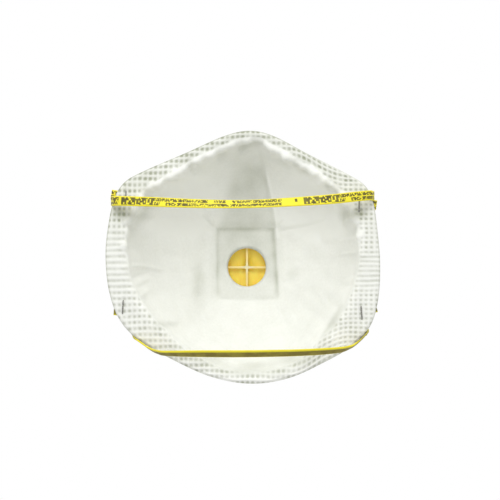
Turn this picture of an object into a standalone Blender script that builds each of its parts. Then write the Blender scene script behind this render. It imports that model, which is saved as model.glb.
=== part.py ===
"""Disposable dust mask: a moulded three-layer cup with a rectangular exhalation valve in its
front, an aluminium nose clip, and two flat elastic headbands stapled to the rim flange.

Frame: +Z is towards the nose, +Y is forward (the valve side), and the wearer's face is at -Y.
The origin is the centre of the face opening, in the plane of the rim's side edges.
Outlines are given in millimetres; MM turns them into metres when a mesh is made.
"""
import math

import bmesh
import bpy
import numpy as np
from mathutils import Vector

MM = 0.001
OBJECT_NAME = "dust_mask"
GAP = 0.3                      # clearance between neighbouring pieces

# Cup: right halves of the outlines as (x, z), from the nose down to the chin
RIM_OUTLINE = ((0, 65), (13, 62.2), (32, 53), (52, 43.6), (62, 37.5), (66.9, 28.5), (69.6, 13),
               (70.7, -2), (69.4, -19), (65, -33), (56, -43.5), (40, -53), (20, -62), (0, -65.2))
WALL_OUTLINE = ((0, 62.3), (14, 57.3), (28, 50), (41, 42), (51, 34.5), (59, 21), (61.6, 5),
                (60.8, -8), (56, -22), (47.5, -35), (37, -46), (23, -56.3), (0, -62))
PANEL_CENTRE_Z = -4.0
PANEL_HALF = (17.0, 20.0)      # the flat valve panel's half width and half height
PANEL_SQUARENESS = 5.0         # superellipse exponent of the panel and of the valve's outline
PANEL_DEPTH = 48.0             # rim plane to the panel's outer face
PORT_Z = -5.8
PORT_RADIUS = 11.3
NOSE_LIFT, CHIN_LIFT = 8.0, 3.0          # how far forward the rim bends at its top and bottom
FILLET = 1.5                   # between the flange and the cup's wall
WALL_START, WALL_END = 8.0, 72.0         # degrees along the wall's elliptical profile
AROUND = 48
WALL_STEPS = 7

# Moulded layers: depth of each one's outer and inner face below the cup's outer surface
LAYERS = {"outer_shell": (0.0, 0.8), "filter_layer": (1.1, 1.6), "inner_liner": (1.9, 2.4)}
WALL_THICKNESS = 2.4

# Exhalation valve
SEAT_HALF = (16.0, 19.0)
SEAT_THICKNESS = 1.2
COLLAR_RADIUS, COLLAR_BORE = 11.0, 10.3
LIP_HEIGHT = 0.4
CROSS_WIDTH, CROSS_DEPTH = 1.4, 1.3
FLAP_HALF_WIDTH, FLAP_BELOW, FLAP_ABOVE = 11.8, 11.5, 15.5   # from the port's centre
FLAP_SQUARENESS = 3.6
FLAP_THICKNESS = 0.5
PIN_RADIUS, PIN_X, PIN_BELOW_HINGE, PIN_PROUD = 0.8, 5.0, 2.0, 0.6
PIN_HOLE_RADIUS = 1.25
COVER_WALL = 1.0
COVER_DEPTH = 8.0
COVER_PROFILE = ((0, 0), (4.5, 0.7), (6.6, 1.3), (7.6, 1.9), (COVER_DEPTH, 2.6))    # depth and inset
SLOT_PITCH, SLOT_HEIGHT, SLOT_DEPTH, SLOTS = 4.4, 1.9, 3.4, 6
SLOT_FROM_BACK, SLOTS_BELOW_CENTRE = 1.4, 1.5
RIB_HALF_WIDTH, RIB_BELOW, RIB_ABOVE = 8.0, 0.4, 0.6       # the clamping rib, from the hinge line
VALVE_AROUND = 40
OVERLAP = 0.2                  # how far shapes that are joined run into each other
CUT_PAST = 1.0                 # how far a cutter reaches past what it cuts

# Nose clip
CLIP_WIDTH, CLIP_THICKNESS = 5.0, 0.8
CLIP_HALF_ANGLE, CLIP_AT, CLIP_STATIONS = 40.0, 20.0, 25

# Headbands. A route's points are (x, y, z) on its right half. Each strap comes round the flange's
# edge, and its band turns about an X axis just behind the flange, where its route starts.
STRAP_WIDTH, STRAP_THICKNESS = 5.0, 0.7
STRAP_SAMPLES = 5              # along each stretch between two route points
UPPER_ROUTE = ((66.2, -4.7, 28), (60, -7.4, 28.2), (45, -12.5, 28), (22, -16.6, 27.6), (0, -18, 27.5))
UPPER_LEAN = (0, -4, -15, -30, -35)          # degrees that the strap's top edge leans back
LOWER_ROUTE = ((61.2, -5.3, -38.4), (57.5, -8, -42.2), (52, -10.8, -45.7), (45, -13.3, -47.9),
               (25, -17, -49.2), (0, -18.5, -49.5))
LOWER_LEAN = (0, 22, 38, 45, 50, 51)
TAIL_DEPTH, RETURN_DEPTH = 0.65, 2.35        # middle of each strap layer above the flange
BACK_DEPTH = -3.05                           # middle of the strap behind the flange
UPPER_TIP, UPPER_FOLD, UPPER_EDGE = 67.0, 58.0, 67.3       # x of the tail's tip, fold and edge
EDGE_BULGE = 1.2               # how far a strap stands out past the flange's edge
BACK_RUN = 1.0                 # length of the strap's fixed run behind the flange
RUN_BEFORE_EDGE = 0.8          # where the return's flat run ends, before the edge
FOLD_STEPS, WRAP_STEPS, RUN_STATIONS = 6, 10, 4
LOWER_TAIL = ((67.0, -25.6), (57.2, -27.3))
LOWER_START = (58.6, -24.4)
LOWER_EDGE, LOWER_EDGE_ANGLE = (62.0, -37.6), -40.5        # and the direction square to the edge
LOWER_FLAT, LOWER_BACK = 14, 75            # degrees of the width direction on and behind the flange
LOWER_TWIST = ((0, 55, 150, 180), (14, 50, 50, 62))        # and round the edge
LOWER_FOLD_BLOCK = ((57.3, -29.0), (59.6, -25.2))

# Staples
WIRE_RADIUS = 0.25
CROWN_HALF = 2.85
LEG_BEND = 0.35
CLINCH_END = 0.8               # where a folded leg ends, from the staple's middle
WIRE_ABOVE_STRAP = 0.1
STAPLE_HOLE_RADIUS = 0.5
UPPER_STAPLE = (60.6, 28.0, 0.0)       # x, z, tilt in degrees
LOWER_STAPLE = (61.4, -26.6, 10.0)

WHITE = (0.86, 0.87, 0.84)
YELLOW = (0.90, 0.78, 0.04)


# ---------------------------------------------------------------- scene and materials

def clear_scene():
    for obj in list(bpy.data.objects):
        bpy.data.objects.remove(obj, do_unlink=True)


def collection(name):
    group = bpy.data.collections.new(name)
    bpy.context.scene.collection.children.link(group)
    return group


def material(name, colour, roughness, metallic=0.0):
    mat = bpy.data.materials.new(name)
    mat.use_nodes = True
    shader = mat.node_tree.nodes["Principled BSDF"]
    shader.inputs["Base Color"].default_value = (*colour, 1)
    shader.inputs["Roughness"].default_value = roughness
    shader.inputs["Metallic"].default_value = metallic
    mat.diffuse_color = (*colour, 1)
    return mat


def add_object(name, data, group, mat=None):
    obj = bpy.data.objects.new(name, data)
    group.objects.link(obj)
    if mat:
        data.materials.append(mat)
    return obj


def mesh_object(name, points, faces, group, mat=None):
    """An object from millimetre points and faces, with its normals made consistent."""
    mesh = bpy.data.meshes.new(name)
    mesh.from_pydata([Vector(p) * MM for p in points], [], faces)
    mesh.validate()
    return add_object(name, mesh, group, mat)


def shade(obj, degrees=35):
    obj.data.shade_smooth()
    obj.data.set_sharp_from_angle(angle=math.radians(degrees))


# ---------------------------------------------------------------- curves

def smooth_line(points, samples):
    """A Catmull-Rom curve through the points, with its first and last points as they are."""
    p = np.array(points, float)
    padded = np.vstack([2 * p[0] - p[1], p, 2 * p[-1] - p[-2]])
    line = []
    for i in range(1, len(padded) - 2):
        a, b, c, d = padded[i - 1:i + 3]
        for k in range(samples):
            t = k / samples
            line.append(0.5 * (2 * b + (c - a) * t + (2 * a - 5 * b + 4 * c - d) * t * t
                               + (3 * b - a - 3 * c + d) * t ** 3))
    return np.array([*line, p[-1]])


def closed_outline(half, samples=8):
    """Both halves of an outline that is the same on either side of x = 0."""
    mirrored = [(-x, z) for x, z in half[-2:0:-1]]
    around = [*half, *mirrored]
    extended = [mirrored[-1], *around, around[0], around[1]]
    line = smooth_line(extended, samples)
    return line[samples:-samples]


def radius_at(outline, angles):
    """The outline's distance from the panel's centre in each direction."""
    offset = outline - [0, PANEL_CENTRE_Z]
    turn = np.mod(np.arctan2(offset[:, 1], offset[:, 0]), 2 * math.pi)
    distance = np.hypot(offset[:, 0], offset[:, 1])
    return np.interp(angles, *zip(*sorted(zip(turn, distance))), period=2 * math.pi)


def superellipse(half, angles, power=PANEL_SQUARENESS):
    cos, sin = np.abs(np.cos(angles)) / half[0], np.abs(np.sin(angles)) / half[1]
    return (cos ** power + sin ** power) ** (-1 / power)


# ---------------------------------------------------------------- the cup's outer surface

ANGLES = np.arange(AROUND) * 2 * math.pi / AROUND
RIM, WALL = closed_outline(RIM_OUTLINE), closed_outline(WALL_OUTLINE)


def rim_lift(z):
    """How far forward of the rim plane the flange is at a height z."""
    return np.where(z > 0, NOSE_LIFT, CHIN_LIFT) * (z / 65) ** 2


def flat_ring(radius, angles=ANGLES):
    return radius * np.cos(angles), PANEL_CENTRE_Z + radius * np.sin(angles)


def wall_ring(degrees, angles=ANGLES):
    """One ring of the cup's wall, from the fillet at WALL_START to the panel at WALL_END."""
    a, start, end = (math.radians(d) for d in (degrees, WALL_START, WALL_END))
    out = (math.cos(a) - math.cos(end)) / (math.cos(start) - math.cos(end))
    forward = (math.sin(a) - math.sin(start)) / (math.sin(end) - math.sin(start))
    wall, panel = radius_at(WALL, angles), superellipse(PANEL_HALF, angles)
    base = rim_lift(flat_ring(wall, angles)[1]) + FILLET
    x, z = flat_ring(panel + (wall - panel) * out, angles)
    return np.stack([x, base + (PANEL_DEPTH - base) * forward, z], axis=1)


def flange_rings():
    """The flat flange from its edge inwards, then the fillet that turns up into the wall."""
    rim, wall = radius_at(RIM, ANGLES), radius_at(WALL, ANGLES)
    rings = []
    for radius in (rim, (rim + wall + FILLET) / 2):
        x, z = flat_ring(radius)
        rings.append(np.stack([x, rim_lift(z), z], axis=1))
    for turn in (0, 27, 54):
        a = math.radians(turn)
        x, z = flat_ring(wall + FILLET * (1 - math.sin(a)))
        lift = rim_lift(flat_ring(wall)[1]) * math.sin(a) + rim_lift(z) * (1 - math.sin(a))
        rings.append(np.stack([x, lift + FILLET * (1 - math.cos(a)), z], axis=1))
    return rings


def cup_rings():
    rings = flange_rings()
    for k in range(WALL_STEPS + 1):
        rings.append(wall_ring(WALL_START + (WALL_END - WALL_START) * k / WALL_STEPS))
    port = np.stack([PORT_RADIUS * np.cos(ANGLES), np.full(AROUND, PANEL_DEPTH),
                     PORT_Z + PORT_RADIUS * np.sin(ANGLES)], axis=1)
    return [*rings, port]


def loft(rings):
    """Points and faces of an open band that joins closed rings of equal length."""
    n = len(rings[0])
    faces = []
    for r in range(len(rings) - 1):
        for i in range(n):
            j = (i + 1) % n
            faces.append((r * n + i, (r + 1) * n + i, (r + 1) * n + j, r * n + j))
    return np.vstack(rings), faces


def layer(name, group, mat):
    """One moulded layer: the cup's outer surface, thickened between two depths below it."""
    outer, inner = LAYERS[name]
    obj = mesh_object(name, *loft(cup_rings()), group, mat)
    solid = obj.modifiers.new("thickness", "SOLIDIFY")
    solid.thickness = (inner - outer) * MM
    solid.offset = 1 - 2 * inner / (inner - outer)
    solid.use_even_offset = True
    return obj


# ---------------------------------------------------------------- simple solids

def prism(name, outline, low, high, group, mat=None, centre_z=PANEL_CENTRE_Z):
    """A flat outline around (0, centre_z) in X and Z, extruded along Y from low to high."""
    n = len(outline)
    points = [(x, y, centre_z + z) for y in (low, high) for x, z in outline]
    faces = [(i, (i + 1) % n, n + (i + 1) % n, n + i) for i in range(n)]
    faces += [tuple(range(n))[::-1], tuple(range(n, 2 * n))]
    obj = mesh_object(name, points, faces, group, mat)
    recalculate(obj)
    return obj


def recalculate(obj):
    bm = bmesh.new()
    bm.from_mesh(obj.data)
    bmesh.ops.recalc_face_normals(bm, faces=bm.faces)
    bm.to_mesh(obj.data)
    bm.free()


def rounded_outline(half, count, power=PANEL_SQUARENESS):
    angles = np.arange(count) * 2 * math.pi / count
    radius = superellipse(half, angles, power)
    return np.stack([radius * np.cos(angles), radius * np.sin(angles)], axis=1)


def disc_outline(radius, count=AROUND):
    angles = np.arange(count) * 2 * math.pi / count
    return radius * np.stack([np.cos(angles), np.sin(angles)], axis=1)


def box(name, low, high, group, mat=None):
    """A box between two corners in millimetres."""
    mesh = bpy.data.meshes.new(name)
    bm = bmesh.new()
    bmesh.ops.create_cube(bm, size=1)
    low, high = np.array(low, float), np.array(high, float)
    for vertex in bm.verts:
        vertex.co = Vector((low + high) / 2 + np.array(vertex.co) * (high - low)) * MM
    bm.to_mesh(mesh)
    bm.free()
    return add_object(name, mesh, group, mat)


def ring(name, bore, radius, low, high, group):
    """A tube along Y around the port's axis."""
    bm = bmesh.new()
    profile = [(bore, low), (radius, low), (radius, high), (bore, high)]
    verts = [bm.verts.new(Vector((r, y, 0)) * MM) for r, y in profile]
    for i in range(4):
        bm.edges.new((verts[i], verts[(i + 1) % 4]))
    bmesh.ops.spin(bm, geom=bm.verts[:] + bm.edges[:], cent=(0, 0, 0), axis=(0, 1, 0),
                   angle=2 * math.pi, steps=AROUND, use_merge=True)
    bmesh.ops.recalc_face_normals(bm, faces=bm.faces)
    bmesh.ops.translate(bm, verts=bm.verts, vec=(0, 0, PORT_Z * MM))
    mesh = bpy.data.meshes.new(name)
    bm.to_mesh(mesh)
    bm.free()
    return add_object(name, mesh, group)


def combine(obj, other, operation):
    """A Boolean with a helper object that the build leaves out."""
    other.hide_render = True
    other.display_type = "WIRE"
    boolean = obj.modifiers.new(other.name, "BOOLEAN")
    boolean.object = other
    boolean.operation = operation


def squared(centres, across):
    """The across directions, turned to stand square to the line of centres."""
    along = np.gradient(centres, axis=0)
    along /= np.linalg.norm(along, axis=1)[:, None]
    across = across - (across * along).sum(1)[:, None] * along
    return across / np.linalg.norm(across, axis=1)[:, None]


def ribbon(name, centres, across, group, mat, width=STRAP_WIDTH, thickness=STRAP_THICKNESS):
    """A flat strip along centres, whose width runs along the across directions."""
    centres, across = np.array(centres, float), np.array(across, float)
    n = len(centres)
    points = np.vstack([centres - across * width / 2, centres + across * width / 2])
    faces = [(i, i + 1, n + i + 1, n + i) for i in range(n - 1)]
    obj = mesh_object(name, points, faces, group, mat)
    solid = obj.modifiers.new("thickness", "SOLIDIFY")
    solid.thickness = thickness * MM
    solid.offset = 0
    solid.use_even_offset = True
    return obj


# ---------------------------------------------------------------- exhalation valve

SEAT_BACK = PANEL_DEPTH + GAP
SEAT_FRONT = SEAT_BACK + SEAT_THICKNESS
FLAP_BACK = SEAT_FRONT + LIP_HEIGHT + GAP
FLAP_FRONT = FLAP_BACK + FLAP_THICKNESS
COVER_BACK = SEAT_FRONT + GAP
COVER_FRONT = COVER_BACK + COVER_DEPTH
HINGE_Z = PORT_Z + FLAP_ABOVE


def valve_seat(group, helpers, mat):
    """Plate, port collar, sealing lip, four-quadrant cross and the flap's two locating pins."""
    seat = prism("valve_seat", rounded_outline(SEAT_HALF, VALVE_AROUND), SEAT_BACK, SEAT_FRONT, group, mat)
    bore = prism("seat_bore", disc_outline(COLLAR_RADIUS - OVERLAP), SEAT_BACK - CUT_PAST,
                 SEAT_FRONT + CUT_PAST, helpers, centre_z=PORT_Z)
    combine(seat, bore, "DIFFERENCE")
    collar = ring("seat_collar", COLLAR_BORE, COLLAR_RADIUS, PANEL_DEPTH - WALL_THICKNESS,
                  SEAT_FRONT + LIP_HEIGHT, helpers)
    combine(seat, collar, "UNION")
    low, high = SEAT_BACK - CROSS_DEPTH / 2, SEAT_BACK + CROSS_DEPTH / 2
    reach = (COLLAR_BORE + COLLAR_RADIUS) / 2
    half = CROSS_WIDTH / 2
    level = box("cross_level", (-reach, low, PORT_Z - half), (reach, high, PORT_Z + half), helpers)
    upright = box("cross_upright", (-half, low + 0.01, PORT_Z - reach),
                  (half, high - 0.01, PORT_Z + reach), helpers)
    combine(seat, level, "UNION")
    combine(seat, upright, "UNION")
    for side, name in ((-1, "left"), (1, "right")):
        pin = prism(f"flap_pin_{name}", disc_outline(PIN_RADIUS, 12) + [side * PIN_X, 0],
                    SEAT_FRONT - OVERLAP, FLAP_FRONT + PIN_PROUD, helpers,
                    centre_z=HINGE_Z - PIN_BELOW_HINGE)
        combine(seat, pin, "UNION")
    return seat


def valve_diaphragm(group, helpers, mat):
    """The elastic flap: flat on the sealing lip, held along its top edge by two pins."""
    half = (FLAP_HALF_WIDTH, (FLAP_ABOVE + FLAP_BELOW) / 2)
    flap = prism("valve_diaphragm", rounded_outline(half, VALVE_AROUND, FLAP_SQUARENESS), FLAP_BACK,
                 FLAP_FRONT, group, mat, centre_z=PORT_Z + (FLAP_ABOVE - FLAP_BELOW) / 2)
    for side, name in ((-1, "left"), (1, "right")):
        hole = prism(f"flap_hole_{name}", disc_outline(PIN_HOLE_RADIUS, 16) + [side * PIN_X, 0],
                     FLAP_BACK - CUT_PAST, FLAP_FRONT + CUT_PAST, helpers,
                     centre_z=HINGE_Z - PIN_BELOW_HINGE)
        combine(flap, hole, "DIFFERENCE")
    return flap


def cover_rings():
    """The cover's outer surface: tapered sides, a rounded shoulder and a flat front."""
    rings = []
    for depth, inset in COVER_PROFILE:
        half = (SEAT_HALF[0] - inset, SEAT_HALF[1] - inset)
        rings.append([(x, COVER_BACK + depth, PANEL_CENTRE_Z + z)
                      for x, z in rounded_outline(half, VALVE_AROUND)])
    return rings


def valve_cover(group, helpers, mat):
    """A shallow cap with slots through both sides and a rib that clamps the flap's top edge."""
    rings = cover_rings()
    points, faces = loft(rings)
    front = len(points) - len(rings[0])
    faces.append(tuple(range(front, len(points)))[::-1])
    cover = mesh_object("valve_cover", points, faces, group, mat)
    recalculate(cover)
    outward_from_inside(cover)
    solid = cover.modifiers.new("wall", "SOLIDIFY")
    solid.thickness = COVER_WALL * MM
    solid.offset = -1
    solid.use_even_offset = True
    middle = (SLOTS - 1) / 2
    reach, start = SEAT_HALF[0] + CUT_PAST, COVER_BACK + SLOT_FROM_BACK
    for k in range(SLOTS):
        z = PANEL_CENTRE_Z - SLOTS_BELOW_CENTRE + (k - middle) * SLOT_PITCH
        low = (-reach, start, z - SLOT_HEIGHT / 2)
        high = (reach, start + SLOT_DEPTH, z + SLOT_HEIGHT / 2)
        combine(cover, box(f"cover_slot_{k + 1}", low, high, helpers), "DIFFERENCE")
    rib = box("flap_rib", (-RIB_HALF_WIDTH, FLAP_FRONT + GAP, HINGE_Z - RIB_BELOW),
              (RIB_HALF_WIDTH, COVER_FRONT - COVER_WALL / 2, HINGE_Z + RIB_ABOVE), helpers)
    combine(cover, rib, "UNION")
    return cover


def outward_from_inside(obj):
    """Flip an open cap whose front face looks back into it."""
    front = max(obj.data.polygons, key=lambda p: p.center.y)
    if front.normal.y < 0:
        obj.data.flip_normals()


# ---------------------------------------------------------------- nose clip

def nose_clip(group, mat):
    """A soft aluminium strip bent over the bridge of the cup, just in front of its flange."""
    angles = np.radians(90 + np.linspace(-CLIP_HALF_ANGLE, CLIP_HALF_ANGLE, CLIP_STATIONS))
    middle = wall_ring(CLIP_AT, angles)
    across = wall_ring(CLIP_AT + 1, angles) - middle
    along = np.gradient(middle, axis=0)
    out = np.cross(across, along)
    out /= np.linalg.norm(out, axis=1)[:, None]
    out *= np.sign((out * middle).sum(1))[:, None]
    centres = middle + out * (CLIP_THICKNESS / 2 + 1.5 * GAP)
    return ribbon("nose_clip", centres, squared(centres, across), group, mat,
                  CLIP_WIDTH, CLIP_THICKNESS)


# ---------------------------------------------------------------- staples

def staple_frame(place, side):
    """The staple's centre on one side and the direction of its crown, in X and Z."""
    x, z, tilt = place
    crown = np.array([side * math.sin(math.radians(tilt)), math.cos(math.radians(tilt))])
    return np.array([side * x, z]), crown


def staple(name, place, side, group, mat):
    """A wire staple: crown inside the flange, legs out through it, ends clinched together."""
    centre, crown = staple_frame(place, side)
    inside = -WALL_THICKNESS - GAP - WIRE_RADIUS
    outside = GAP + STRAP_THICKNESS + WIRE_ABOVE_STRAP + WIRE_RADIUS
    half = [(CLINCH_END, outside), (CROWN_HALF - LEG_BEND, outside), (CROWN_HALF, outside - LEG_BEND),
            (CROWN_HALF, inside + LEG_BEND), (CROWN_HALF - LEG_BEND, inside)]
    route = half + [(-u, y) for u, y in half[::-1]]
    curve = bpy.data.curves.new(name, "CURVE")
    curve.dimensions = "3D"
    curve.bevel_depth = WIRE_RADIUS * MM
    curve.bevel_resolution = 2
    curve.use_fill_caps = True
    spline = curve.splines.new("POLY")
    spline.points.add(len(route) - 1)
    for point, (u, y) in zip(spline.points, route):
        x, z = centre + crown * u
        point.co = (*(Vector((x, float(rim_lift(z)) + y, z)) * MM), 1)
    return add_object(name, curve, group, mat)


def staple_holes(name, place, side, group):
    """Two round cutters where the staple's legs pass through the flange."""
    centre, crown = staple_frame(place, side)
    cutters = []
    for end, label in ((-1, "low"), (1, "high")):
        x, z = centre + crown * CROWN_HALF * end
        lift = float(rim_lift(z))
        cutters.append(prism(f"{name}_hole_{label}", disc_outline(STAPLE_HOLE_RADIUS, 10) + [x, 0],
                             lift - WALL_THICKNESS - CUT_PAST, lift + CUT_PAST, group, centre_z=z))
    return cutters


# ---------------------------------------------------------------- headbands

def mirrored_route(route, leans):
    """Centres and width directions of a whole band from its right half."""
    half = np.array([(*p, lean) for p, lean in zip(route, leans)], float)
    whole = smooth_line(np.vstack([half, half[-2::-1] * [-1, 1, 1, 1]]), STRAP_SAMPLES)
    lean = np.radians(whole[:, 3])
    across = np.stack([np.zeros(len(whole)), -np.sin(lean), np.cos(lean)], axis=1)
    return whole[:, :3], across


def band(name, route, lean, group, mat):
    centres, across = mirrored_route(route, lean)
    return ribbon(name, centres, squared(centres, across), group, mat)


def on_flange(x, z, depth):
    """A point at a height above the flange's outer face."""
    return np.array([x, float(rim_lift(z)) + depth, z])


def edge_wrap(edge, square, steps):
    """A strap's centre round the flange's edge, from its outer side to its back."""
    high = on_flange(*edge, RETURN_DEPTH)
    low = on_flange(*edge, BACK_DEPTH)
    middle, half = (high + low) / 2, (high - low) / 2
    turns = [math.pi * k / steps for k in range(steps + 1)]
    return [middle + half * math.cos(t) + square * EDGE_BULGE * math.sin(t) for t in turns]


def upper_end(name, side, group, mat):
    """A stapled end: tail on the flange, folded back over the staple and round the edge."""
    z = UPPER_STAPLE[1]
    radius, middle = (RETURN_DEPTH - TAIL_DEPTH) / 2, (RETURN_DEPTH + TAIL_DEPTH) / 2
    path = [on_flange(x, z, TAIL_DEPTH) for x in np.linspace(UPPER_TIP, UPPER_FOLD, RUN_STATIONS)]
    for k in range(1, FOLD_STEPS):
        turn = math.pi * k / FOLD_STEPS
        path.append(on_flange(UPPER_FOLD - radius * math.sin(turn), z,
                              middle - radius * math.cos(turn)))
    path += [on_flange(x, z, RETURN_DEPTH)
             for x in np.linspace(UPPER_FOLD, UPPER_EDGE - RUN_BEFORE_EDGE, RUN_STATIONS)]
    path += edge_wrap((UPPER_EDGE, z), np.array([1, 0, 0]), WRAP_STEPS)
    path.append(on_flange(UPPER_EDGE - BACK_RUN, z, BACK_DEPTH))
    slope = float(rim_lift(z + 1) - rim_lift(z - 1)) / 2
    centres = np.array(path) * [side, 1, 1]
    return ribbon(name, centres, [(0, slope, 1)] * len(path), group, mat)


def lower_end(name, side, group, helpers, mat):
    """A stapled end whose strap folds downwards over its tail, then goes round the edge."""
    turn = math.radians(LOWER_EDGE_ANGLE)
    square = np.array([math.cos(turn), 0, math.sin(turn)])
    start, edge = np.array(LOWER_START), np.array(LOWER_EDGE)
    path = [on_flange(*(start + (edge - start) * t), RETURN_DEPTH)
            for t in np.linspace(0, 0.9, RUN_STATIONS)]
    path += edge_wrap(LOWER_EDGE, square, WRAP_STEPS)
    path.append(on_flange(edge[0] - BACK_RUN, edge[1], BACK_DEPTH))
    twist = np.interp(np.linspace(0, 180, WRAP_STEPS + 1), *LOWER_TWIST)
    angles = np.radians([*[LOWER_FLAT] * RUN_STATIONS, *twist, LOWER_BACK])
    across = np.stack([side * np.cos(angles), 0 * angles, np.sin(angles)], axis=1)
    centres = np.array(path) * [side, 1, 1]
    strap = ribbon(name, centres, squared(centres, across), group, mat)
    tip, inner = np.array(LOWER_TAIL[0]), np.array(LOWER_TAIL[1])
    tail_path = [on_flange(*(tip + (inner - tip) * t), TAIL_DEPTH) for t in (0, 0.5, 1)]
    lean = math.radians(LOWER_STAPLE[2])
    tail = ribbon(f"{name}_tail", np.array(tail_path) * [side, 1, 1],
                  [(side * math.sin(lean), 0, math.cos(lean))] * 3, helpers, None)
    combine(strap, tail, "UNION")
    low, high = LOWER_FOLD_BLOCK
    lift = float(rim_lift(LOWER_STAPLE[1]))
    xs = sorted((side * low[0], side * high[0]))
    block = box(f"{name}_fold", (xs[0], lift + TAIL_DEPTH - OVERLAP, low[1]),
                (xs[1], lift + RETURN_DEPTH + OVERLAP, high[1]), helpers)
    combine(strap, block, "UNION")
    return strap


# ---------------------------------------------------------------- assembly

def main():
    clear_scene()
    parts, helpers = collection(OBJECT_NAME), collection("cutters")
    looks = {
        "outer_shell": material("outer_nonwoven", WHITE, 0.95),
        "filter_layer": material("filter_meltblown", (0.90, 0.91, 0.90), 0.95),
        "inner_liner": material("liner_nonwoven", (0.84, 0.85, 0.80), 0.95),
    }
    plastic = material("valve_plastic", (0.88, 0.87, 0.80), 0.45)
    rubber = material("diaphragm_rubber", (0.80, 0.50, 0.10), 0.5)
    strap = material("elastic_strap", YELLOW, 0.55)
    steel = material("staple_wire", (0.55, 0.55, 0.53), 0.35, 1.0)
    aluminium = material("clip_aluminium", (0.80, 0.80, 0.80), 0.35, 1.0)

    holes = []
    for height, place in (("upper", UPPER_STAPLE), ("lower", LOWER_STAPLE)):
        for side, hand in ((-1, "left"), (1, "right")):
            name = f"staple_{height}_{hand}"
            staple(name, place, side, parts, steel)
            holes += staple_holes(name, place, side, helpers)

    for name, look in looks.items():
        obj = layer(name, parts, look)
        for hole in holes:
            combine(obj, hole, "DIFFERENCE")
        shade(obj)

    nose_clip(parts, aluminium)
    valve_seat(parts, helpers, plastic)
    valve_diaphragm(parts, helpers, rubber)
    valve_cover(parts, helpers, plastic)

    band("upper_headband", UPPER_ROUTE, UPPER_LEAN, parts, strap)
    band("lower_headband", LOWER_ROUTE, LOWER_LEAN, parts, strap)
    for side, hand in ((-1, "left"), (1, "right")):
        upper_end(f"upper_headband_end_{hand}", side, parts, strap)
        lower_end(f"lower_headband_end_{hand}", side, parts, helpers, strap)


main()
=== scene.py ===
import math

import bmesh
import bpy
import numpy as np
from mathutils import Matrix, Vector, noise


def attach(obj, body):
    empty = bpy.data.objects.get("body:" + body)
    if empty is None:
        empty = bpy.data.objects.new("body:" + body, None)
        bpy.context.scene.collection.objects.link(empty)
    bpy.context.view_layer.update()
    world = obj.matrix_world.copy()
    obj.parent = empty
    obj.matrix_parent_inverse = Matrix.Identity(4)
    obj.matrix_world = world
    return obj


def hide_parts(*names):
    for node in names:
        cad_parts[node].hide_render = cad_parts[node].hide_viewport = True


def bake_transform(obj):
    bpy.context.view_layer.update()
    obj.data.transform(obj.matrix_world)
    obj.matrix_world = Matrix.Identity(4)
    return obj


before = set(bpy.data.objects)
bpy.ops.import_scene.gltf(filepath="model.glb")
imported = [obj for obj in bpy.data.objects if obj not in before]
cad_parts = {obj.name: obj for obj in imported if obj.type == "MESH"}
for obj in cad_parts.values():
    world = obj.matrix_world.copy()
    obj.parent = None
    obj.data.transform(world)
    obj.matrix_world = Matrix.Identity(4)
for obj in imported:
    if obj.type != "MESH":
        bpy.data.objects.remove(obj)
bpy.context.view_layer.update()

MM = 0.001

# The cup, as in the CAD: right halves of its outlines as (x, z), from the nose down to the chin
RIM_OUTLINE = ((0, 65), (13, 62.2), (32, 53), (52, 43.6), (62, 37.5), (66.9, 28.5), (69.6, 13),
               (70.7, -2), (69.4, -19), (65, -33), (56, -43.5), (40, -53), (20, -62), (0, -65.2))
WALL_OUTLINE = ((0, 62.3), (14, 57.3), (28, 50), (41, 42), (51, 34.5), (59, 21), (61.6, 5),
                (60.8, -8), (56, -22), (47.5, -35), (37, -46), (23, -56.3), (0, -62))
PANEL_CENTRE_Z = -4.0
PANEL_HALF = (17.0, 20.0)
PANEL_SQUARENESS = 5.0
PANEL_DEPTH = 48.0
PORT_Z = -5.8
PORT_RADIUS = 11.3
NOSE_LIFT, CHIN_LIFT = 8.0, 3.0
PEAK_REACH = 65.0                        # height at which the rim's lift and lean are full
FILLET = 1.5
WALL_START, WALL_END = 8.0, 72.0
WALL_THICKNESS = 2.4
NOSE_SHIFT, CHIN_SHIFT = 5.0, 2.8        # how far the rim's peaks stand to one side
RIM_SHEAR = 0.017                        # how far the rim is pushed out of square, per millimetre
FOOT_WANDER = 1.0                        # how far the wall's foot strays from its outline

# Layers: depth of each one's outer and inner face below the cup's outer surface
LAYERS = {"outer_shell": (0.0, 0.8), "filter_layer": (0.8, 1.6), "inner_liner": (1.6, 2.4)}
RIM_PINCH, PINCH_WIDTH = 0.55, 1.4       # the welded edge's share of the full thickness, and its width
FINE, COARSE = 720, 180                  # points around a seen face and a hidden one

# Embossing of the flange
PIT_PITCH = (2.65, 3.1)
PIT_DEPTH, SHELL_PIT_DEPTH = 0.42, 0.36
BEAD_HEIGHT, GATHER_HEIGHT = 0.75, 4.4   # the roll beside the upper flange, and the gathers under it
GATHER_DEEPEST = 0.13                    # the hollows between gathers are cut off at this share
DEEPEST = 0.62                           # how far the liner may be pressed without meeting its back

# Straps and staples
STRAP_WIDTH, STRAP_THICKNESS = 5.1, 0.85
TAIL_DEPTH, RETURN_DEPTH, BACK_DEPTH = 0.65, 2.35, -3.05
EDGE_BULGE = 1.2
WIRE_RADIUS = 0.33
CROWN_HALF = 3.3

# Marks on the elastic: what repeats along the strap, and each mark's length and its share across
PRINT_PERIOD, PRINT_START = 95.2, 59.3
BOLD_LENGTH, START_GAP = 18.5, 1.5
WORD, SMALL_MARK, BOLD_MARK = (3.1, 0.5), (0.48, 0.11), (0.62, 0.19)
DOT_FROM_END, DOT_ACROSS = (4.5, 3.2), (0.45, 0.8)
RIB_COUNT, STITCH_LENGTH = 11, 0.9


# ------------------------------ curves and outlines

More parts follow.
